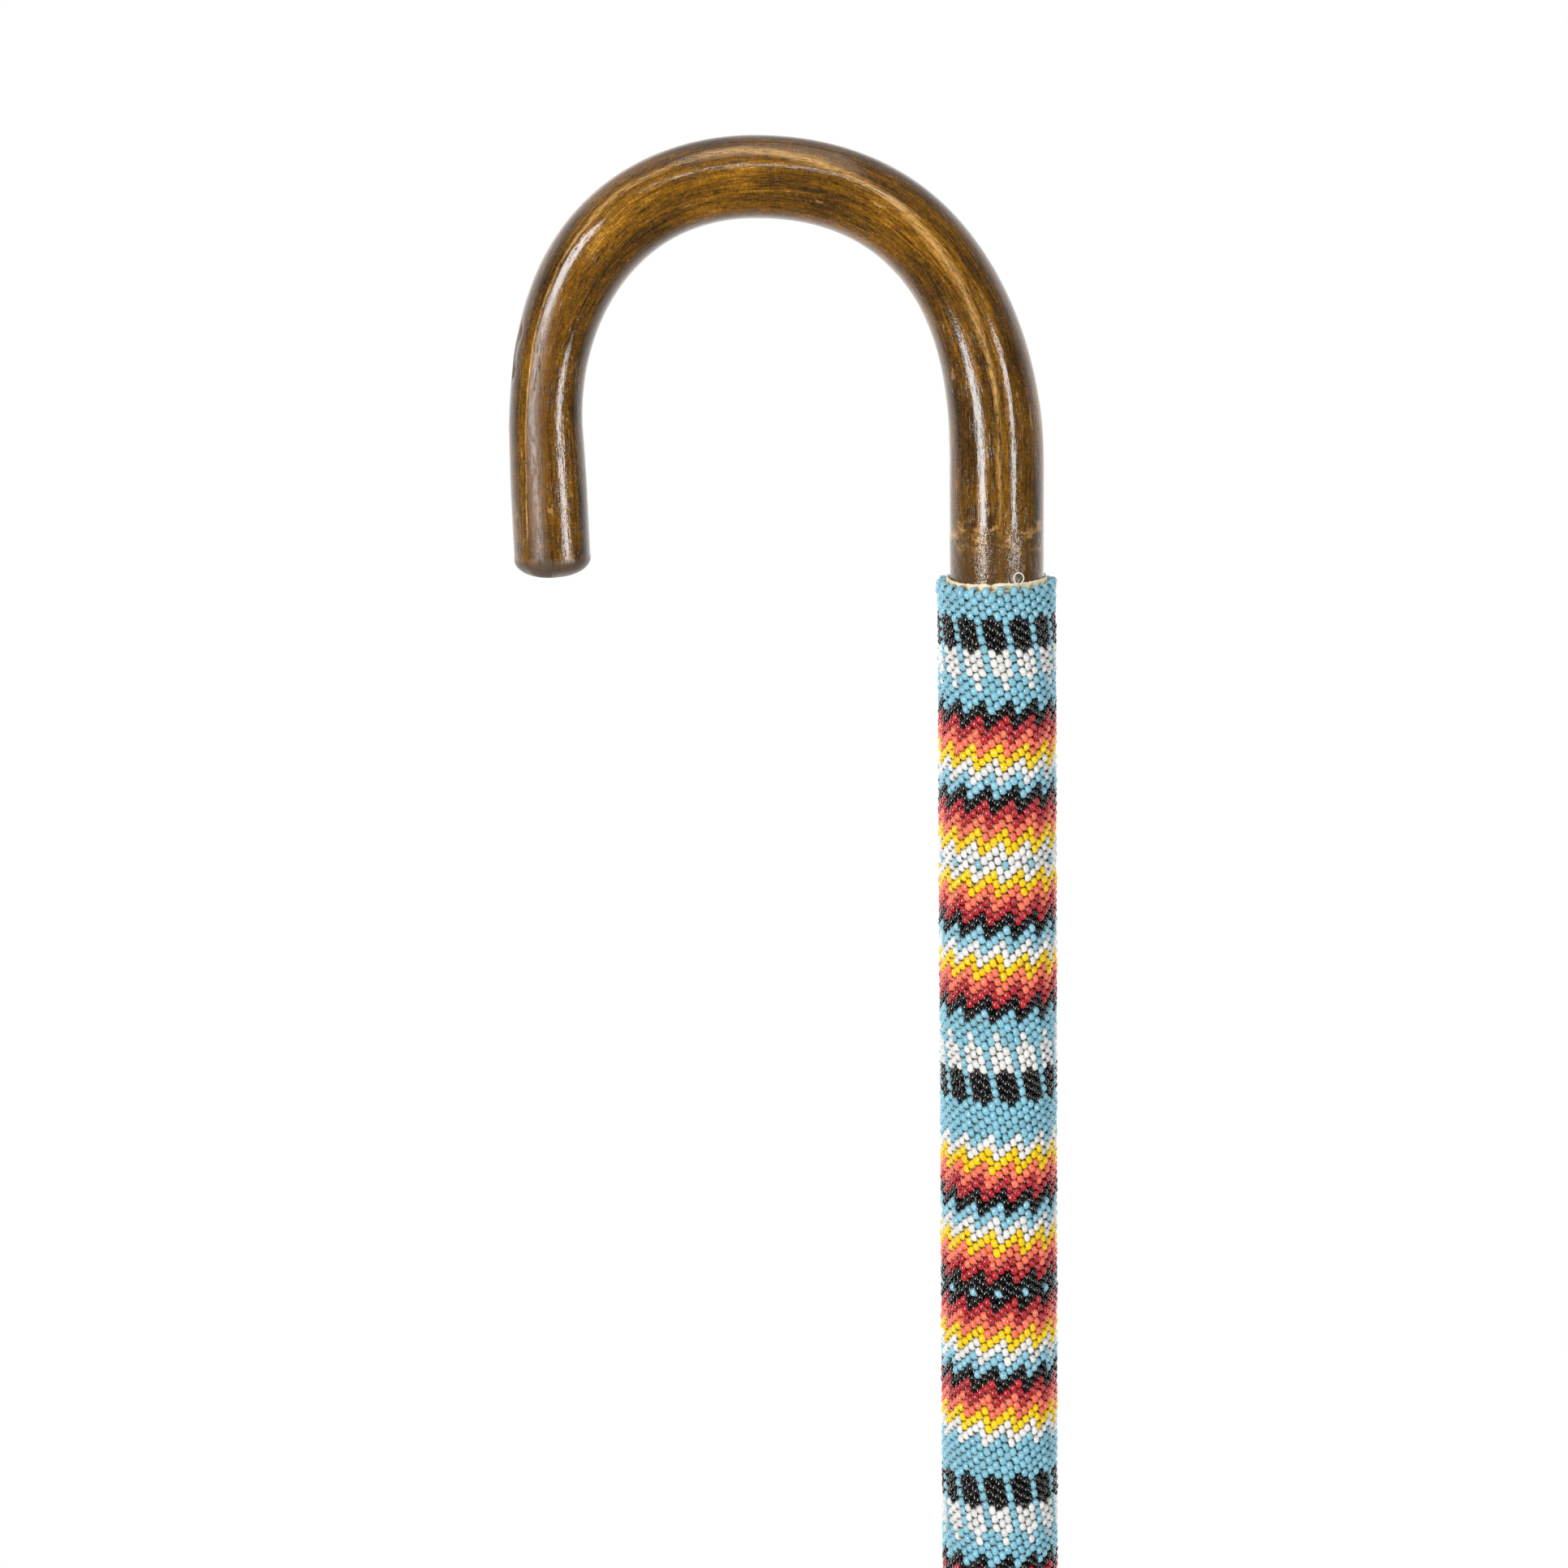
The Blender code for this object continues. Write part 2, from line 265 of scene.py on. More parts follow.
def stickLine():
    # centre line in the XZ plane, evenly spaced, and the distance along it
    bend = np.array([0.0, crownTop - stick["bendDrop"]])
    crown = np.array([-stick["crownReach"], crownTop - stick["crownRadius"]])
    nose = np.array([-stick["reach"], crownTop - stick["noseDrop"]])
    end = np.array([stick["noseLean"] - stick["reach"], crownTop - stick["endDrop"]])
    sink = (end - nose) / np.linalg.norm(end - nose)
    domeFoot = end - sink * stick["domeHeight"]
    line = np.vstack([
        [[0.0, sleeveTop - 0.004], bend],
        bendPoints(bend, crown, stick["shaftSideHandles"], True, 200)[1:],
        bendPoints(crown, nose, stick["noseSideHandles"], False, 200)[1:],
        [domeFoot],
    ])
    run = np.r_[0, np.cumsum(np.linalg.norm(np.diff(line, axis=0), axis=1))]
    even = np.linspace(0, run[-1], int(run[-1] / stick["fineStep"]))
    line = np.stack([np.interp(even, run, line[:, k]) for k in (0, 1)], 1)
    hidden = np.arange(stickFoot + 0.002, line[0, 1] - 0.01, stick["coarseStep"])
    low = np.r_[stickFoot, hidden]
    return np.vstack([np.stack([0 * low, low], 1), line]), sink


def stickRadius(line):
    drop = crownTop - line[:, 1]
    start, finish = (share * stick["bendDrop"] for share in stick["bendTaper"])
    shaft = smoothStep(start, finish, drop)
    neck = smoothStep(stick["neckTaper"] * stick["neckDrop"], stick["neckDrop"], drop)
    swell = smoothStep(stick["neckDrop"], stick["neckDrop"] + stick["noseSwell"], drop)
    crown, waist = stick["crownRadius"], stick["neckRadius"]
    onShaft = crown + (stick["shaftRadius"] - crown) * shaft
    onNose = crown + (waist - crown) * neck + (stick["noseRadius"] - waist) * swell
    return np.where(line[:, 0] > -stick["crownReach"], onShaft, onNose)


def ridgeAngle(line):
    # the light worn line over the front of the handle, as an angle from the bend's outer side
    share = np.clip(-line[:, 0] / stick["reach"], 0, 1)
    drop = crownTop - line[:, 1]
    degrees = np.interp(share, stick["ridgeAlong"], stick["ridgeDegrees"])
    nosePart = (line[:, 0] < -0.9 * stick["reach"]) * smoothStep(0.05, 0.1, drop)
    return np.radians(degrees - stick["noseRidgeTurn"] * nosePart)


def stickMesh():
    line, sink = stickLine()
    radius = stickRadius(line)
    # the nose closes as a dome
    turns = np.linspace(0, 0.5 * math.pi, stick["domeRings"])[1:]
    dome = line[-1] + sink * (stick["domeHeight"] * np.sin(turns))[:, None]
    domeRadius = stick["noseRadius"] * np.cos(turns) ** stick["domeFullness"]
    line = np.vstack([line, dome])
    radius = np.r_[radius, np.maximum(domeRadius, 0.00005)]
    run = np.r_[0, np.cumsum(np.linalg.norm(np.diff(line, axis=0), axis=1))]
    tangent = np.gradient(line, axis=0)
    tangent /= np.linalg.norm(tangent, axis=1)[:, None]
    outward = np.stack([tangent[:, 1], -tangent[:, 0]], 1)
    sides = stick["sides"]
    angle = np.linspace(0, 2 * math.pi, sides, endpoint=False)[None, :]

    wave = sum(height * np.sin(lobes * angle + twist * run[:, None] + start)
               for height, lobes, twist, start in stick["outOfRound"])
    upper, lower = (crownTop - drop for drop in stick["shapedDrop"])
    shown = smoothStep(lower, upper, line[:, 1])[:, None]
    ridge = ridgeAngle(line)[:, None]
    fromRidge = (angle - ridge + math.pi) % (2 * math.pi) - math.pi
    soft = np.sqrt(fromRidge ** 2 + 0.0025) - 0.05
    low, high = stick["ridgeHeight"]
    noseShare = smoothStep(*stick["noseBlend"], -line[:, :1] / stick["reach"])
    wave += (low + (high - low) * noseShare) * np.exp(-soft / stick["ridgeSpread"])
    onFlat = noseShare * smoothStep(*stick["flatDrop"], crownTop - line[:, 1:])
    fromFlat = (angle - stick["flatAngle"]) / stick["flatSpread"]
    wave -= onFlat * stick["flatDepth"] * np.exp(-fromFlat ** 2)
    nick = nickMask(line, angle)
    taper = radius[:, None] / stick["shaftRadius"]
    ring = radius[:, None] + taper * shown * wave - nick * stick["nickDepth"]
    ring = np.maximum(ring, 0.00003)

    points = np.empty((len(line), sides, 3))
    points[:, :, 0] = line[:, :1] + outward[:, :1] * ring * np.cos(angle)
    points[:, :, 1] = -ring * np.sin(angle)
    points[:, :, 2] = line[:, 1:] + outward[:, 1:] * ring * np.cos(angle)
    grain = np.stack([ring * np.cos(angle), ring * np.sin(angle),
                      np.broadcast_to(run[:, None], ring.shape)], -1)
    return points, grain, fromRidge, nick, line, run


def nickMask(line, angle):
    # the crack along the outer side of the nose
    low, high = stick["nickDrop"]
    drop = crownTop - line[:, 1]
    onNose = line[:, 0] < -0.8 * stick["reach"]
    share = (drop - low) / (high - low)
    inside = onNose & (share > 0) & (share < 1)
    share = np.clip(share, 0, 1)
    centre = np.radians(stick["nickDegrees"] + 5 * np.sin(9 * share) - 3 * share)[:, None]
    narrow, swell = stick["nickWidth"]
    width = (narrow + swell * np.sin(math.pi * share))[:, None]
    return inside[:, None] * np.exp(-((angle - centre) / width) ** 2)


def makeStick():
    points, grain, fromRidge, nick, line, run = stickMesh()
    rows, sides = points.shape[:2]
    faces, places = gridSheet(rows, sides)
    ends = [points[0].mean(0), points[-1].mean(0)]
    caps = []
    for end, ringRow in ((0, 0), (1, rows - 1)):
        middle = rows * sides + end
        for side in range(0, sides, 2):
            a, b, c = (ringRow * sides + (side + k) % sides for k in range(3))
            caps.append([middle, c, b, a] if end == 0 else [middle, a, b, c])
    faces = np.vstack([faces, caps])
    made = meshObject("stained_stick", np.vstack([points.reshape(-1, 3), ends]), faces)
    endGrain = np.array([[0, 0, run[0]], [0, 0, run[-1]]])
    pointAttribute(made, "grain", np.vstack([grain.reshape(-1, 3), endGrain]))
    pointAttribute(made, "ridge", np.r_[fromRidge.ravel(), 3.0, 3.0])
    pointAttribute(made, "nick", np.r_[nick.ravel(), 0.0, 0.0])
    noseRun = run[-1] - run
    nose = np.repeat(noseRun[:, None], sides, 1).ravel()
    pointAttribute(made, "noseRun", np.r_[nose, noseRun[0], 0.0])
    bakeMap(made, places, cornerPatch(len(caps), 0.0, 0.004))
    return made


wood = {
    "pale": (0.46, 0.235, 0.040),
    "gold": (0.290, 0.128, 0.012),
    "amber": (0.165, 0.070, 0.006),
    "brown": (0.072, 0.034, 0.008),
    "dark": (0.020, 0.011, 0.004),
    "worn": (0.60, 0.34, 0.11),
    # painted shade beside the ridge on the nose
    "rubbed": (0.090, 0.048, 0.020),
    "shadedAmber": (0.150, 0.055, 0.002),
    "bareEnd": (0.080, 0.055, 0.033),
    "crack": (0.008, 0.005, 0.003),
}
# noises in the grain: how fine round the stick and along it, detail, roughness, distortion
woodNoises = {
    "figure": (330, 20, 3.0, 0.60, 0.4),
    "streaks": (1500, 95, 3.0, 0.65, 0.0),
    "dashes": (2900, 480, 2.0, 0.60, 0.0),
    "flecks": (900, 2900, 2.0, 0.60, 0.0),
    "blotch": (75, 48, 3.0, 0.55, 0.0),
    "pores": (2400, 210, 2.0, 0.50, 0.0),
    "wander": (40, 60, 3.0, 0.60, 0.0),
    "chips": (520, 150, 3.0, 0.65, 0.0),
    "patch": (260, 330, 4.0, 0.70, 0.0),
    "peel": (900, 420, 3.0, 0.60, 0.0),
    "wrinkle": (620, 760, 3.0, 0.70, 0.0),
}


def stainedWood():
    material, w = startMaterial("stained_lacquered_wood")
    grain = w.attribute("grain", "Vector")
    ridge = w.attribute("ridge")
    toNose = w.attribute("noseRun")
    aboveSleeve = grain.axis(2) - (sleeveTop - stickFoot)

    def woodNoise(name):
        across, along, detail, roughness, distortion = woodNoises[name]
        return w.noise(w.stretch(grain, (across, across, along)), 1.0, detail, roughness, distortion)

    # broad figure, then finer and finer streaks along the grain, and flecks that run across it
    figure, streaks, dashes = (woodNoise(name) for name in ("figure", "streaks", "dashes"))
    flecks, blotch, pores = (woodNoise(name) for name in ("flecks", "blotch", "pores"))

    # painted shade: the wood is darkened towards the inside of the bend and towards the bend's outer
    # side
    outwards = grain.axis(0) / 0.0105
    shade = (outwards * -0.5 + 0.5).ramp(0.35, 0.95)
    outerShade = (outwards * 0.5 + 0.5).ramp(0.72, 0.98)
    # beside the ridge on the nose the lacquer is dulled by handling, and its colour is darkened and
    # warmed there as painted shade
    dullAndShaded = (1 - abs(ridge - 0.30).ramp(0.20, 0.42)) * (1 - toNose.ramp(0.045, 0.080))
    tone = (0.52 - dullAndShaded * 0.10 + (figure - 0.5) * 1.1 + (streaks - 0.5) * 0.85 + (dashes - 0.5) * 0.95
            + (flecks - 0.5) * 0.75 + (blotch - 0.5) * 0.95 - shade * 0.13 - outerShade * 0.06)
    colour = w.node("ShaderNodeValToRGB", {"stops": [
        (0.0, wood["dark"]), (0.30, wood["brown"]), (0.58, wood["amber"]), (0.84, wood["gold"]),
        (1.0, wood["pale"])]}, {0: tone})
    # painted shade: a darker, warmer amber beside the ridge on the nose
    colour = w.blend(dullAndShaded * 0.5, colour, wood["shadedAmber"])
    poreMask = pores.ramp(0.58, 0.66) * blotch.ramp(0.38, 0.55)
    colour = w.blend(poreMask * 0.8, colour, wood["dark"])

    # light streaks where the stain has worn off the ridge, broadest over the crown
    wander = woodNoise("wander") - 0.5
    width = 0.045 + toNose.ramp(0.055, 0.12) * 0.13 - toNose.ramp(0.16, 0.23) * 0.10
    fromRidge = abs(ridge + wander * 0.10) / width
    near = 1 - fromRidge.ramp(0.25, 1.0)
    broken = (streaks * 0.5 + dashes * 0.3 + figure * 0.2).ramp(0.38, 0.66)
    core = (1 - fromRidge.ramp(0.05, 0.5)) * (dashes * 0.5 + flecks * 0.5).ramp(0.34, 0.60)
    wearEnds = toNose.ramp(0.007, 0.012) * (1 - toNose.ramp(0.20, 0.25))
    worn = (near * broken * 0.75 + core * 0.40) * wearEnds
    colour = w.blend(worn, colour, wood["worn"])

    # chips through the stain, a crack, the rubbed end of the nose and the stick by the sleeve
    chips = woodNoise("chips").ramp(0.66, 0.71)
    colour = w.blend(chips * 0.35, colour, wood["worn"])
    patch = woodNoise("patch")
    bySleeve = 1 - (aboveSleeve + (patch - 0.5) * 0.012).ramp(0.009, 0.0145)
    colour = w.blend(bySleeve * 0.62, colour, wood["rubbed"])
    tanBand = aboveSleeve.ramp(0.006, 0.010) * (1 - aboveSleeve.ramp(0.013, 0.018))
    tanPatch = patch.ramp(0.50, 0.68) * (0.35 + dashes * 0.6)
    colour = w.blend(tanBand * tanPatch, colour, wood["worn"])
    crack = w.attribute("nick").ramp(0.25, 0.75)
    colour = w.blend(crack, colour, wood["crack"])
    scuff = (1 - toNose.ramp(0.006, 0.016)) * patch.ramp(0.42, 0.60)
    colour = w.blend(scuff * 0.6, colour, wood["dark"])
    endWood = 1 - toNose.ramp(0.0035, 0.0062)
    colour = w.blend(endWood * 0.75, colour, wood["bareEnd"])

    # lacquer follows the grain, and is wrinkled where it has been rubbed
    peel = woodNoise("peel")
    wrinkle = woodNoise("wrinkle")
    height = (peel * 0.45 + streaks * 0.22 + dashes * 0.2 + flecks * 0.15 - poreMask * 0.35
              + bySleeve * wrinkle * 2.6 - crack * 2.0)
    rough = 0.07 + peel.ramp(0.40, 0.7) * 0.07 + endWood * 0.35 + chips * 0.2
    rough = rough + dullAndShaded * (0.16 + peel * 0.22)
    finishMaterial(w, {
        "Base Color": colour, "Roughness": rough, "Normal": w.bump(height, 0.00010, 0.75),
        "IOR": 1.5})
    return material


beads = {
    "columns": 52,
    "ringRadius": 0.01302,
    "diameter": 0.00229,
    "length": 0.00161,
    "hole": 0.00040,
    "around": 12,
    "lean": -0.17,
    "frontTurn": math.radians(-7.5),
    "turnPerRow": math.radians(1.072),
    "turnLoss": math.radians(0.00021),
    # (along the hole, out from it) of half a bead's section, as shares of length and radius
    "profile": ((0.78, 0.0), (0.99, 0.26), (0.88, 0.61), (0.53, 0.885)),
    "sizeSpread": 0.045,
    "sizeLimits": (0.88, 1.09),
    "skewSpread": 0.07,
    "placeSpread": 0.00006,
    "tiltSpread": 0.08,
    "looseEdge": (2.2, 1.2),
    "sunkRow": 1,
    "sunkTurn": math.radians(19.5),
    "sunkDepth": 0.0007,
    "threadRadius": 0.00009,
    "threadSides": 4,
    "threadShares": (0.0, 0.3, 0.7, 1.0),
    "threadLift": 0.00046,
    "edgeLift": 0.00035,
    "repeatRows": 186,
}

# letters of the stripes from the top down, with each group's first row and its shift sideways;
# a stripe is three beads of every fourth column, and its neighbours step up or down from it
stripeGroups = (
    (18, 0, "krcywbkrcywwycrkbwycrk"),
    (111, 21, "wycrkbwycr"),
    (147, 31, "rcywbkrcyw"),
)
glassColours = {
    "t": ("turquoise", (0.222, 0.485, 0.590)),
    "b": ("light_blue", (0.242, 0.500, 0.605)),
    "k": ("black", (0.0025, 0.0025, 0.003)),
    "w": ("white", (0.715, 0.710, 0.690)),
    "r": ("dark_red", (0.405, 0.018, 0.025)),
    "c": ("coral", (0.820, 0.168, 0.092)),
    "y": ("yellow", (0.860, 0.570, 0.001)),
}
glassFinish = {"smoothest": 0.03, "shine": 0.75, "milkiness": 0.35, "milkDepth": 0.0006}
threadColours = {"wax": (0.58, 0.55, 0.46), "strand": (0.80, 0.78, 0.70)}
glassOrder = list(glassColours)


def stripeLetter(row, column):
    # colour of the stripe through one bead; steps holds the half rows that each column fills
    steps = {0: (0, 2, 4), 1: (3,), 2: (2,), 3: (1,)}
    for firstRow, shift, letters in stripeGroups:
        for index, letter in enumerate(letters):
            step = row - firstRow - 3 * index
            if step in steps[(column + shift + index) % 4]:
                # a foot bead of the eleventh stripe shows the light blue of the row below
                return "b" if (firstRow, index, step) == (18, 10, 4) else letter
    return None


def beadLetter(row, column):
    # glass colour of one bead of the pattern, which repeats down the sleeve
    row = (row + 6) % beads["repeatRows"] - 6
    lane = column % 4
    if row < 0 or row >= 180:
        return "t"
    letter = stripeLetter(row, column)
    if letter:
        return letter
    if row <= 16 and lane != 2:
        black, white = ((0, 6), (8, 14)) if lane == 0 else ((1, 5), (7, 11))
    elif 87 <= row <= 109 and lane != 1:
        white, black = ((89, 95), (97, 103)) if lane == 3 else ((92, 96), (98, 102))
    elif 141 <= row <= 148:
        return "b" if (column + 31) % 4 == 2 and row == 145 else "k"
    else:
        return "t"
    if black[0] <= row <= black[1]:
        return "k"
    return "w" if white[0] <= row <= white[1] else "t"


def beadShape():
    # closed ring turned about its hole, which lies along local X
    half, radius, hole = 0.5 * beads["length"], 0.5 * beads["diameter"], beads["hole"]
    side = beads["profile"]
    profile = np.array([*((-along, out) for along, out in side), (0.0, 1.0), *reversed(side)])
    along = profile[:, 0] * half
    out = hole + profile[:, 1] * (radius - hole)
    turn = np.linspace(0, 2 * math.pi, beads["around"], endpoint=False)
    shape = np.stack([np.repeat(along[:, None], len(turn), 1),
                      out[:, None] * np.sin(turn), out[:, None] * np.cos(turn)], -1)
    faces, corners = gridSheet(len(profile), len(turn), True, True, 0.06)
    mouth = np.repeat(1 - profile[:, 1], len(turn))
    return shape.reshape(-1, 3), faces[:, ::-1], corners[:, ::-1], mouth


def beadBand(name, firstRow, rows, topZ, halfRow, rng):
    # every bead of one band as one mesh, with its thread
    shape, faces, corners, mouth = beadShape()
    places = [(row, column) for row in range(firstRow, firstRow + rows)
              for column in range(row % 2, beads["columns"], 2)]
    letters = [beadLetter(row, column) for row, column in places]
    order = sorted(range(len(places)), key=lambda k: glassOrder.index(letters[k]))
    places = np.array(places)[order]
    letters = [letters[k] for k in order]
    count = len(places)
    row, column = places[:, 0].astype(float), places[:, 1].astype(float)
    turn = (beads["frontTurn"] + 2 * math.pi / beads["columns"] * column
            + beads["turnPerRow"] * row - beads["turnLoss"] * row * row)
    edge = np.clip(np.maximum(-4 - row, row - beads["lastRow"] + 2), 0, 1)   # loose end courses
    looser, tippier = beads["looseEdge"]
    spread = beads["placeSpread"] * (1 + looser * edge)
    z = topZ - halfRow * (row + 7) + rng.normal(0, 1, count) * spread
    turn = turn + rng.normal(0, 1, count) * spread / beads["ringRadius"]
    out = beads["ringRadius"] + rng.normal(0, 1, count) * spread * 0.8 + edge * 0.0001
    sunk = (row == beads["sunkRow"]) & (np.abs(turn - beads["sunkTurn"]) < math.radians(4))
    out = out - sunk * beads["sunkDepth"]   # one bead by the thread's end has slipped in

    size = 1 + rng.normal(0, beads["sizeSpread"], (count, 3))
    size = np.clip(size, *beads["sizeLimits"])
    size[:, 1] = size[:, 2]
    tilt = rng.normal(0, beads["tiltSpread"], (count, 3)) * (1 + tippier * edge)[:, None]
    skew = rng.normal(0, beads["skewSpread"], count)
    local = shape[None] * size[:, None, :]
    local[:, :, 0] += skew[:, None] * local[:, :, 2]
    tilt[:, 1] += beads["lean"]   # the columns lean round the sleeve, and the beads with them
    a, b, c = tilt.T[:, :, None]
    x, y, rise = local[:, :, 0], local[:, :, 1], local[:, :, 2]
    x, y = x - a * y, y + a * x
    x, rise = x + b * rise, rise - b * x
    y, rise = y - c * rise, rise + c * y
    sinT, cosT = np.sin(turn)[:, None], np.cos(turn)[:, None]
    points = np.empty((count, len(shape), 3))
    reach = out[:, None] + y
    points[:, :, 0] = reach * sinT + x * cosT
    points[:, :, 1] = -reach * cosT + x * sinT
    points[:, :, 2] = z[:, None] + rise

    allFaces = (faces[None] + (np.arange(count) * len(shape))[:, None, None]).reshape(-1, 4)
    cells = math.ceil(math.sqrt(count))
    cell = np.stack([np.arange(count) % cells, np.arange(count) // cells], -1)
    beadPlaces = ((corners[None] + cell[:, None, None, :]) / cells * 0.94).reshape(-1, 4, 2)

    threadPoints, threadFaces = bandThread(turn, z, out, row, column)
    threadFaces = threadFaces + points.size // 3
    made = meshObject(f"seed_{name}", np.vstack([points.reshape(-1, 3), threadPoints]),
                      np.vstack([allFaces, threadFaces]))
    tint = np.repeat(rng.random(count), len(shape))
    extra = np.zeros(len(threadPoints))
    pointAttribute(made, "tint", np.r_[tint, extra])
    pointAttribute(made, "mouth", np.r_[np.tile(mouth, count), extra])
    bakeMap(made, beadPlaces, cornerPatch(len(threadFaces), 0.95, 0.99))
    used = sorted(set(letters), key=glassOrder.index)
    for letter in used:
        made.data.materials.append(glassMaterials[letter])
    made.data.materials.append(threadMaterial)
    slots = np.array([used.index(letter) for letter in letters])
    slots = np.r_[np.repeat(slots, len(faces)), np.full(len(threadFaces), len(used))]
    made.data.polygons.foreach_set("material_index", slots.astype(np.int32))
    return made


def bandThread(turn, z, out, row, column):
    # a short stretch of thread from each bead's hole down to the next one round,
    # and from bead to bead along the open edges of the sleeve
    lookup = {(int(r), int(c)): k for k, (r, c) in enumerate(zip(row, column))}
    inside, alongEdge = [], []
    for (r, c), k in lookup.items():
        below = lookup.get((r + 1, (c + 1) % beads["columns"]))
        if below is not None:
            inside.append((k, below))
        if r in (-6, beads["lastRow"]):
            alongEdge.append((k, lookup[(r, (c + 2) % beads["columns"])]))
    holeTurn = 0.46 * beads["length"] / beads["ringRadius"]
    sides, shares = beads["threadSides"], beads["threadShares"]
    points = []
    for pairs, lift in ((inside, beads["threadLift"]), (alongEdge, beads["edgeLift"])):
        if not pairs:
            continue
        first, second = np.array(pairs).T
        gapTurn = (turn[second] - turn[first] + math.pi) % (2 * math.pi) - math.pi
        rings = []
        for share in shares:
            angle = turn[first] + holeTurn + share * (gapTurn - 2 * holeTurn)
            height = z[first] + share * (z[second] - z[first])
            rise = lift * 1.15 * math.sin(math.pi * share)
            reach = out[first] + share * (out[second] - out[first]) + rise
            for side in range(sides):
                spin = 2 * math.pi * side / sides
                sideways = math.cos(spin) * beads["threadRadius"]
                deep = reach + math.sin(spin) * beads["threadRadius"]
                if pairs is inside:
                    across, high = angle + sideways / beads["ringRadius"], height
                else:
                    across, high = angle, height + sideways + 0.3 * rise
                rings.append(np.stack([deep * np.sin(across), -deep * np.cos(across), high], -1))
        points.append(np.stack(rings, 1).reshape(-1, 3))
    points = np.concatenate(points)
    ringFaces = gridSheet(len(shares), sides)[0]
    ringSize = len(shares) * sides
    faces = ringFaces[None] + (np.arange(len(points) // ringSize) * ringSize)[:, None, None]
    return points, faces.reshape(-1, 4)


def seedGlass(letter):
    name, colour = glassColours[letter]
    material, w = startMaterial(f"{name}_glass")
    tint = w.attribute("tint")
    mouth = w.attribute("mouth")
    place = w.objectPlace()
    cloud = w.noise(place, 700.0, 2.0, 0.5)
    light = tuple(min(0.93, part * 1.15 + 0.001) for part in colour)
    deep = tuple(part * 0.86 for part in colour)
    glass = w.blend(tint * 0.65 + cloud * 0.35, deep, light)
    # darker towards the mouths of the hole: partly painted shade in the hole and the gaps between
    # beads, partly dirt from the thread
    glass = w.blend(mouth.ramp(0.55, 1.0) * 0.5, glass, tuple(part * 0.55 for part in colour))
    rough = glassFinish["smoothest"] + cloud.ramp(0.35, 0.75) * 0.05 + tint * 0.03
    milky = 0.0 if letter == "k" else glassFinish["milkiness"]
    finishMaterial(w, {"Base Color": glass, "Roughness": rough, "IOR": 1.54,
                       "Specular IOR Level": glassFinish["shine"], "Subsurface Weight": milky,
                       "Subsurface Radius": (1.0, 1.0, 1.0),
                       "Subsurface Scale": glassFinish["milkDepth"]})
    return material


def nylonThread():
    material, w = startMaterial("waxed_thread")
    place = w.objectPlace()
    strands = w.noise(w.stretch(place, (1.0, 1.0, 2.5)), 2600.0, 2.0, 0.5)
    colour = w.blend(strands, threadColours["wax"], threadColours["strand"])
    finishMaterial(w, {"Base Color": colour, "Roughness": 0.35 + strands * 0.25,
                       "Normal": w.bump(strands, 0.00004, 0.5)})
    return material


leather = {
    "inner": 0.01118,
    "outer": 0.01182,
    "rimDrop": 0.0005,
    "rimWave": 0.00022,
    # the cut edge is uneven: share of the wave, waves round the rim, start
    "rimRipples": ((1.0, 2, 0.6), (0.5, 5, 2.0), (0.12, 17, 0.0), (0.2, 37, 0.0)),
    "seam": math.radians(-8.6),
    "seamWidth": math.radians(0.5),
    "seamDip": 0.0004,
    "seamDipWidth": 0.06,
    "sides": 360,
    # how the soft rim is rounded: outwards from the face, and up from the rim
    "outerRim": ((0.0, -0.02), (0.0, -0.004), (0.00004, -0.0016), (0.00010, -0.0006),
                 (0.00006, -0.0001), (-0.00018, 0.0)),
    "innerRim": ((0.0002, -0.00002), (0.00002, -0.0002), (0.0, -0.001), (0.0, -0.02)),
    "tan": (0.72, 0.57, 0.34),
    "cream": (0.93, 0.80, 0.56),
    # painted highlight along the top of the rim
    "rimHighlightColour": (0.96, 0.90, 0.74),
    "dirt": (0.40, 0.30, 0.18),
}


def makeLeather():
    foot, top = (corner.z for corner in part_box("leather_sleeve"))
    inner, outer, sides = leather["inner"], leather["outer"], leather["sides"]
    start = leather["seam"] + 0.5 * leather["seamWidth"]
    turn = np.linspace(start, start + 2 * math.pi - leather["seamWidth"], sides)
    ripple = sum(share * np.sin(waves * turn + begin)
                 for share, waves, begin in leather["rimRipples"])
    ripple = ripple + 0.2 * np.sin(61 * turn + 2.2 * np.sin(3 * turn))
    fromSeam = np.minimum(turn - turn[0], turn[-1] - turn)
    rim = top - leather["rimDrop"] + leather["rimWave"] * ripple
    rim = rim - leather["seamDip"] * np.exp(-(fromSeam / leather["seamDipWidth"]) ** 2)

    # closed section from the foot up the outside, over the soft rim and down the inside
    section = [(outer, foot + 0 * rim)]
    section += [(outer + out, rim + up) for out, up in leather["outerRim"]]
    section += [(inner + out, rim + up) for out, up in leather["innerRim"]]
    section += [(inner, foot + 0 * rim)]
    count = len(section)
    points = np.empty((count, sides, 3))
    for k, (radius, height) in enumerate(section):
        bulge = 0.00003 * np.sin(9 * turn + k)
        points[k, :, 0] = (radius + bulge) * np.sin(turn)
        points[k, :, 1] = -(radius + bulge) * np.cos(turn)
        points[k, :, 2] = height
    faces, places = gridSheet(count, sides, False, True)
    caps = []
    for side in (0, sides - 1):
        ring = [k * sides + side for k in range(count)]
        for k in range(count // 2 - 1):
            quad = [ring[k], ring[k + 1], ring[count - 2 - k], ring[count - 1 - k]]
            caps.append(quad if side == 0 else quad[::-1])
    made = meshObject("leather_liner", points.reshape(-1, 3), np.vstack([faces[:, ::-1], caps]))
    bakeMap(made, places[:, ::-1], cornerPatch(len(caps), 0.0, 0.01))
    return made


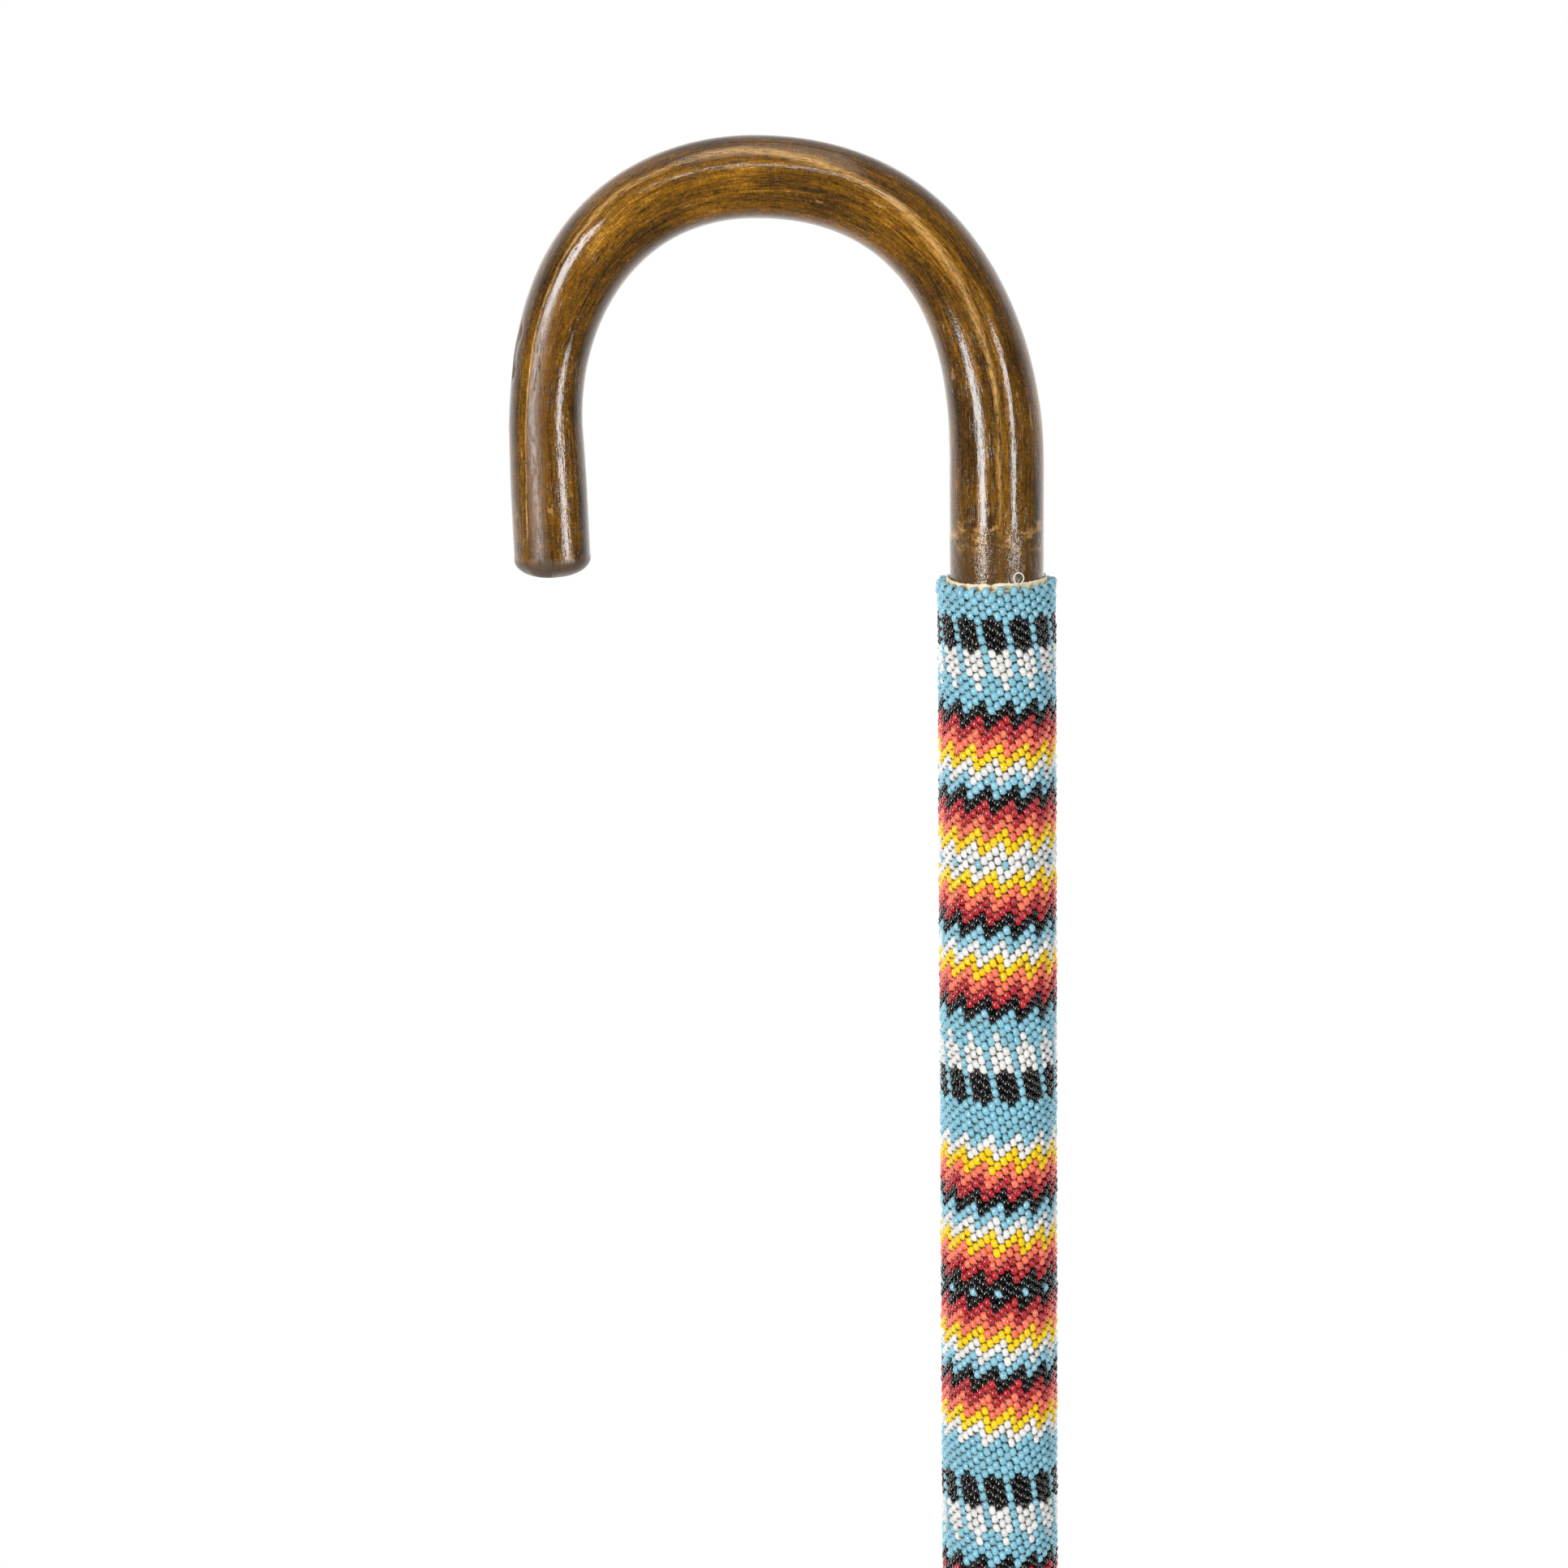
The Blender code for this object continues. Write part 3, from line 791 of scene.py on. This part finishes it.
def creamLeather():
    material, w = startMaterial("cream_leather")
    place = w.objectPlace()
    mottle = w.noise(place, 260.0, 4.0, 0.6)
    fibre = w.noise(place, 2400.0, 3.0, 0.6)
    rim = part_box("leather_sleeve")[1].z
    # painted highlight: the leather is lighter along the top of the rim
    rimHighlight = place.axis(2).ramp(rim - 0.0012, rim + 0.0003)
    colour = w.blend(mottle, leather["tan"], leather["cream"])
    colour = w.blend(rimHighlight * 0.7, colour, leather["rimHighlightColour"])
    colour = w.blend(fibre.ramp(0.55, 0.8) * 0.35, colour, leather["dirt"])
    finishMaterial(w, {"Base Color": colour, "Roughness": 0.72 + fibre * 0.2,
                       "Normal": w.bump(mottle * 0.5 + fibre, 0.00012, 0.8)})
    return material


tip = {
    "sides": 144,
    "rounding": 0.0006,
    "boreInset": 0.0075,
    "neckInset": 0.0042,
    "topInset": 0.0050,
    "floorUnderStick": 0.0018,
    "footTop": 0.0075,
    "bodyFoot": 0.0135,
    "ribs": 3,
    "ribDrop": 0.0040,
    "ribPitch": 0.0055,
    "ribHeight": 0.0024,
    "ribDepth": 0.0009,
    "footEdge": 0.0012,
    "grooves": 2,
    "grooveInset": 0.0058,
    "groovePitch": 0.0044,
    "grooveWidth": 0.0018,
    "grooveDepth": 0.0012,
    "black": (0.012, 0.012, 0.013),
    "grey": (0.030, 0.029, 0.029),
    "dust": (0.16, 0.15, 0.135),
    "parting": (0.06, 0.06, 0.06),
}
washerSizes = {"hole": 0.0025, "edge": 0.00015, "sides": 96}
steelColours = {"worn": (0.42, 0.42, 0.43), "bright": (0.66, 0.66, 0.65)}


def turnedPiece(name, outline, sides, closed):
    # outline is (radius, height), run from the inside up and down the outer side
    outline = np.array(outline)
    turn = np.linspace(0, 2 * math.pi, sides, endpoint=False)
    points = np.empty((len(outline), sides, 3))
    points[:, :, 0] = outline[:, :1] * np.cos(turn)
    points[:, :, 1] = outline[:, :1] * np.sin(turn)
    points[:, :, 2] = outline[:, 1:]
    faces, places = gridSheet(len(outline), sides, True, closed)
    made = meshObject(name, points.reshape(-1, 3), faces[:, ::-1])
    bakeMap(made, places[:, ::-1])
    return made


def roundedOutline(points, radius, steps=4):
    # each corner of the outline becomes a small curve
    points = [np.array(point, float) for point in points]
    out = [points[0]]
    for before, here, after in zip(points, points[1:], points[2:]):
        back, on = before - here, after - here
        cut = min(radius, 0.45 * np.linalg.norm(back), 0.45 * np.linalg.norm(on))
        start = here + back / np.linalg.norm(back) * cut
        end = here + on / np.linalg.norm(on) * cut
        for t in np.linspace(0, 1, steps + 1):
            out.append((1 - t) ** 2 * start + 2 * (1 - t) * t * here + t * t * end)
    return out + [points[-1]]


def ferruleOutline():
    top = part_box("rubber_ferrule")[1]
    foot, height = top.x, top.z
    bore, neck, mouth = (foot - tip[name] for name in ("boreInset", "neckInset", "topInset"))
    floor = stickFoot - tip["floorUnderStick"]
    footTop, bodyFoot, footEdge = tip["footTop"], tip["bodyFoot"], tip["footEdge"]
    points = [(0.00002, floor), (bore, floor), (bore, height - 0.0006), (bore + 0.0006, height),
              (mouth - 0.0008, height), (mouth, height - 0.0010)]
    slope = (neck - mouth) / (height - bodyFoot)
    ribDepth, bevel = tip["ribDepth"], 0.25 * tip["ribHeight"]
    for rib in range(tip["ribs"]):
        ribTop = height - tip["ribDrop"] - rib * tip["ribPitch"]
        ribFoot = ribTop - tip["ribHeight"]
        upper, lower = (mouth + slope * (height - z) for z in (ribTop, ribFoot))
        points += [(upper, ribTop), (upper + ribDepth, ribTop - bevel),
                   (lower + ribDepth, ribFoot + bevel), (lower, ribFoot)]
    points += [(neck, bodyFoot), (neck + 0.45 * (foot - neck), footTop + 0.0022),
               (foot - footEdge, footTop), (foot, footTop - footEdge), (foot, footEdge),
               (foot - footEdge, 0.0)]
    width, depth = tip["grooveWidth"], tip["grooveDepth"]
    for groove in range(tip["grooves"]):
        inner = foot - tip["grooveInset"] - groove * tip["groovePitch"]
        points += [(inner + width, 0.0), (inner + 0.75 * width, depth),
                   (inner + 0.25 * width, depth), (inner, 0.0)]
    points += [(0.00002, 0.0)]
    return roundedOutline(points, tip["rounding"])


def blackRubber():
    material, w = startMaterial("moulded_rubber")
    place = w.objectPlace()
    grit = w.noise(place, 3200.0, 3.0, 0.6)
    cloud = w.noise(place, 120.0, 3.0, 0.5)
    dust = (1 - place.axis(2).ramp(0.0, 0.006)) * cloud.ramp(0.3, 0.7)
    partingLine = 1 - abs(place.axis(1)).ramp(0.00012, 0.00035)
    colour = w.blend(cloud, tip["black"], tip["grey"])
    colour = w.blend(dust * 0.5, colour, tip["dust"])
    colour = w.blend(partingLine * 0.25, colour, tip["parting"])
    finishMaterial(w, {"Base Color": colour, "Roughness": 0.52 + grit * 0.22 + dust * 0.15,
                       "Normal": w.bump(grit + partingLine * 1.5, 0.00010, 0.5)})
    return material


def platedSteel():
    material, w = startMaterial("plated_steel")
    place = w.objectPlace()
    brushed = w.noise(w.stretch(place, (1.0, 1.0, 12.0)), 900.0, 3.0, 0.6)
    colour = w.blend(brushed, steelColours["worn"], steelColours["bright"])
    finishMaterial(w, {"Base Color": colour, "Metallic": 1.0, "Roughness": 0.25 + brushed * 0.2,
                       "Normal": w.bump(brushed, 0.00005, 0.4)})
    return material


def makeTip():
    rubber = turnedPiece("rubber_tip", ferruleOutline(), tip["sides"], False)
    low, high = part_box("ferrule_washer")
    hole, edge, outer = washerSizes["hole"], washerSizes["edge"], high.x
    outline = [(hole, high.z - edge), (hole + edge, high.z), (outer - edge, high.z),
               (outer, high.z - edge), (outer, low.z + edge), (outer - edge, low.z),
               (hole + edge, low.z), (hole, low.z + edge)]
    return rubber, turnedPiece("tip_washer", outline, washerSizes["sides"], True)


loop = {
    "width": 0.0023,
    "height": 0.0030,
    "radius": 0.00015,
    "turn": math.radians(22),
    "points": 60,
    "startDegrees": -62,
    "sweepDegrees": 304,
    "crossing": 0.0004,
    "tailSpread": 0.0006,
    "tailLength": 0.0012,
}


def sweepTube(name, path, radius, sides=10):
    path = np.array(path, float)
    along = np.gradient(path, axis=0)
    along /= np.linalg.norm(along, axis=1)[:, None]
    side = np.cross(along, [0.3, -0.9, 0.1])
    side /= np.linalg.norm(side, axis=1)[:, None]
    up = np.cross(along, side)
    spin = np.linspace(0, 2 * math.pi, sides, endpoint=False)
    points = (path[:, None] + radius * (np.cos(spin)[None, :, None] * side[:, None]
                                        + np.sin(spin)[None, :, None] * up[:, None]))
    faces, places = gridSheet(len(path), sides)
    made = meshObject(name, points.reshape(-1, 3), faces)
    bakeMap(made, places)
    return made


def makeLoop():
    low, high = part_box("thread_loop")
    centre = (low + high) / 2
    across = Vector((math.cos(loop["turn"]), math.sin(loop["turn"]), 0))
    out = Vector((math.sin(loop["turn"]), -math.cos(loop["turn"]), 0))
    path = []
    for k in range(loop["points"] + 1):
        # up one side, round the eye, and down across its own start
        share = k / loop["points"]
        angle = math.radians(loop["startDegrees"] + loop["sweepDegrees"] * share)
        wide = 0.5 * loop["width"] * math.cos(angle)
        tall = high.z - 0.5 * loop["height"] + 0.46 * loop["height"] * math.sin(angle)
        lean = loop["crossing"] * (math.sin(2 * math.pi * share) + share - 0.75)
        spot = centre + across * wide + out * lean
        path.append((spot.x, spot.y, tall))
    tails = []
    for end, sign in ((path[0], -1), (path[-1], 1)):
        tail = Vector(end) + across * sign * loop["tailSpread"]
        tails.append((tail.x, tail.y, low.z - loop["tailLength"]))
    return sweepTube("thread_end", [tails[0], *path, tails[1]], loop["radius"])


def settle(made, nodes, material=None):
    if material:
        made.data.materials.append(material)
    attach(made, "root")
    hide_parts(*nodes)


# the sleeve's bands from the top down, with their half rows
bands = (("collar", 6), ("blocks", 18), ("upper_chevrons", 18), ("upper_spears", 15),
         ("lower_spears", 15), ("lower_chevrons", 18), ("low_blocks", 21), ("low_collar", 6),
         ("falling_chevrons", 15), ("falling_spears", 15), ("black_belt", 6),
         ("rising_spears", 15), ("rising_chevrons", 18))

settle(makeStick(), ["wood_cane"], stainedWood())
print("stick done")
settle(makeLeather(), ["leather_sleeve"], creamLeather())
rubber, washer = makeTip()
settle(rubber, ["rubber_ferrule"], blackRubber())
settle(washer, ["ferrule_washer"], platedSteel())
threadMaterial = nylonThread()
settle(makeLoop(), ["thread_loop"], threadMaterial)
print("leather, tip and thread end done")

glassMaterials = {letter: seedGlass(letter) for letter in glassColours}
sleeve = []
firstRow = -6
for repeat in range(1, 5):
    for name, rows in bands:
        node = f"beads_{name}_{repeat}"
        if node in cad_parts:
            sleeve.append((node, firstRow, rows))
            firstRow += rows
beads["lastRow"] = firstRow - 1
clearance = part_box(sleeve[0][0])[0].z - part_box(sleeve[1][0])[1].z
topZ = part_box(sleeve[0][0])[1].z + 0.5 * clearance
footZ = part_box(sleeve[-1][0])[0].z - 0.5 * clearance
halfRow = (topZ - footZ) / (firstRow + 6)
rng = np.random.default_rng(11)
for node, first, rows in sleeve:
    settle(beadBand(node, first, rows, topZ, halfRow, rng), [node])
print("bead sleeve done:", firstRow + 6, "half rows")

studio = {
    "aim": (-0.03, 0.0, 0.78),
    "surround": 0.05,
    "behind": 1.65,
    "above": 0.20,
    "floorRadius": 1.6,
    "floorFade": (0.25, 1.5),
    "floorGlow": 0.22,
}
# degrees round the cane from its front, distance, height, width, length and power
lamps = {
    "key_box": (-39.0, 1.35, 0.90, 0.36, 0.92, 17.8),
    "side_box": (46.0, 1.35, 0.68, 0.18, 0.85, 8.0),
    "strip_above": (4.0, 1.25, 1.75, 1.50, 0.05, 4.5),
    "overhead_box": (0.0, 0.20, 2.30, 1.20, 1.20, 6.0),
}
viewpoint = {
    "place": (-0.05074, -1.476),
    "aboveCrown": 0.14,
    "pitch": math.radians(11.28),
    "roll": math.radians(-0.578),
    "lens": 145.3416149,
}


def areaLight(name, degrees, distance, height, width, length, power):
    lamp = bpy.data.lights.new(name, "AREA")
    lamp.shape = "RECTANGLE"
    lamp.size = width
    lamp.size_y = length
    lamp.energy = power
    made = bpy.data.objects.new(name, lamp)
    bpy.context.collection.objects.link(made)
    angle = math.radians(degrees)
    made.location = (distance * math.sin(angle), -distance * math.cos(angle), height)
    aim = Vector(studio["aim"]) - made.location
    made.rotation_euler = aim.to_track_quat("-Z", "Y").to_euler()


def paleFloor():
    # a round pale floor that fades out into the white sweep
    mesh = bpy.data.meshes.new("pale_floor")
    sides, radius = 96, studio["floorRadius"]
    turns = [2 * math.pi * k / sides for k in range(sides)]
    ring = [(radius * math.cos(turn), radius * math.sin(turn), 0) for turn in turns]
    mesh.from_pydata(ring, [], [list(range(sides))])
    floor = bpy.data.objects.new("pale_floor", mesh)
    bpy.context.collection.objects.link(floor)
    material, w = startMaterial("pale_floor")
    place = w.objectPlace()
    cloud = w.noise(place, 3.0, 2.0, 0.5)
    colour = w.blend(cloud, (0.84, 0.84, 0.84), (0.88, 0.88, 0.88))
    reach = w.node("ShaderNodeVectorMath", {"operation": "LENGTH"}, {0: place}, 1)
    finishMaterial(w, {"Base Color": colour, "Roughness": 0.85,
                       "Alpha": 1 - reach.ramp(*studio["floorFade"]),
                       "Emission Color": (1.0, 1.0, 1.0, 1.0),
                       "Emission Strength": studio["floorGlow"]})
    mesh.materials.append(material)
    floor.visible_glossy = False   # so that the lacquer and the black glass stay deep


def whiteSurround():
    # a white sweep behind the cane; the room on the viewer's side is dimmer, as in a studio
    world = bpy.data.worlds.new("studio")
    bpy.context.scene.world = world
    world.use_nodes = True
    tree = world.node_tree
    tree.nodes.clear()
    w = Wire(tree)
    direction = w.node("ShaderNodeTexCoord", output="Generated")
    back, up = direction.axis(1), direction.axis(2)
    glow = back.ramp(-0.1, 0.75, studio["surround"], studio["behind"])
    glow = glow * up.ramp(0.10, 0.75, 1.0, 0.40)
    glow = glow + up.ramp(0.3, 1.0, 0.0, studio["above"])
    seen = w.node("ShaderNodeLightPath", output="Is Camera Ray")
    strength = glow * (1 - seen) + seen
    sky = w.node("ShaderNodeBackground", {}, {"Color": (1, 1, 1, 1), "Strength": strength})
    out = tree.nodes.new("ShaderNodeOutputWorld")
    tree.links.new(sky.socket, out.inputs["Surface"])


paleFloor()
whiteSurround()
for name, lampValues in lamps.items():
    areaLight(name, *lampValues)

camera = bpy.data.cameras.new("camera")
camera.lens = viewpoint["lens"]
camera.sensor_width = 36
camera.clip_end = 50
cameraObject = bpy.data.objects.new("camera", camera)
bpy.context.collection.objects.link(cameraObject)
lookDown = Matrix.Rotation(math.radians(90) - viewpoint["pitch"], 4, "X")
place = Matrix.Translation((*viewpoint["place"], crownTop + viewpoint["aboveCrown"]))
cameraObject.matrix_world = place @ lookDown @ Matrix.Rotation(viewpoint["roll"], 4, "Z")
bpy.context.scene.camera = cameraObject
bpy.context.scene.view_settings.view_transform = "Standard"
print("floor, light and camera done")

bpy.context.view_layer.update()
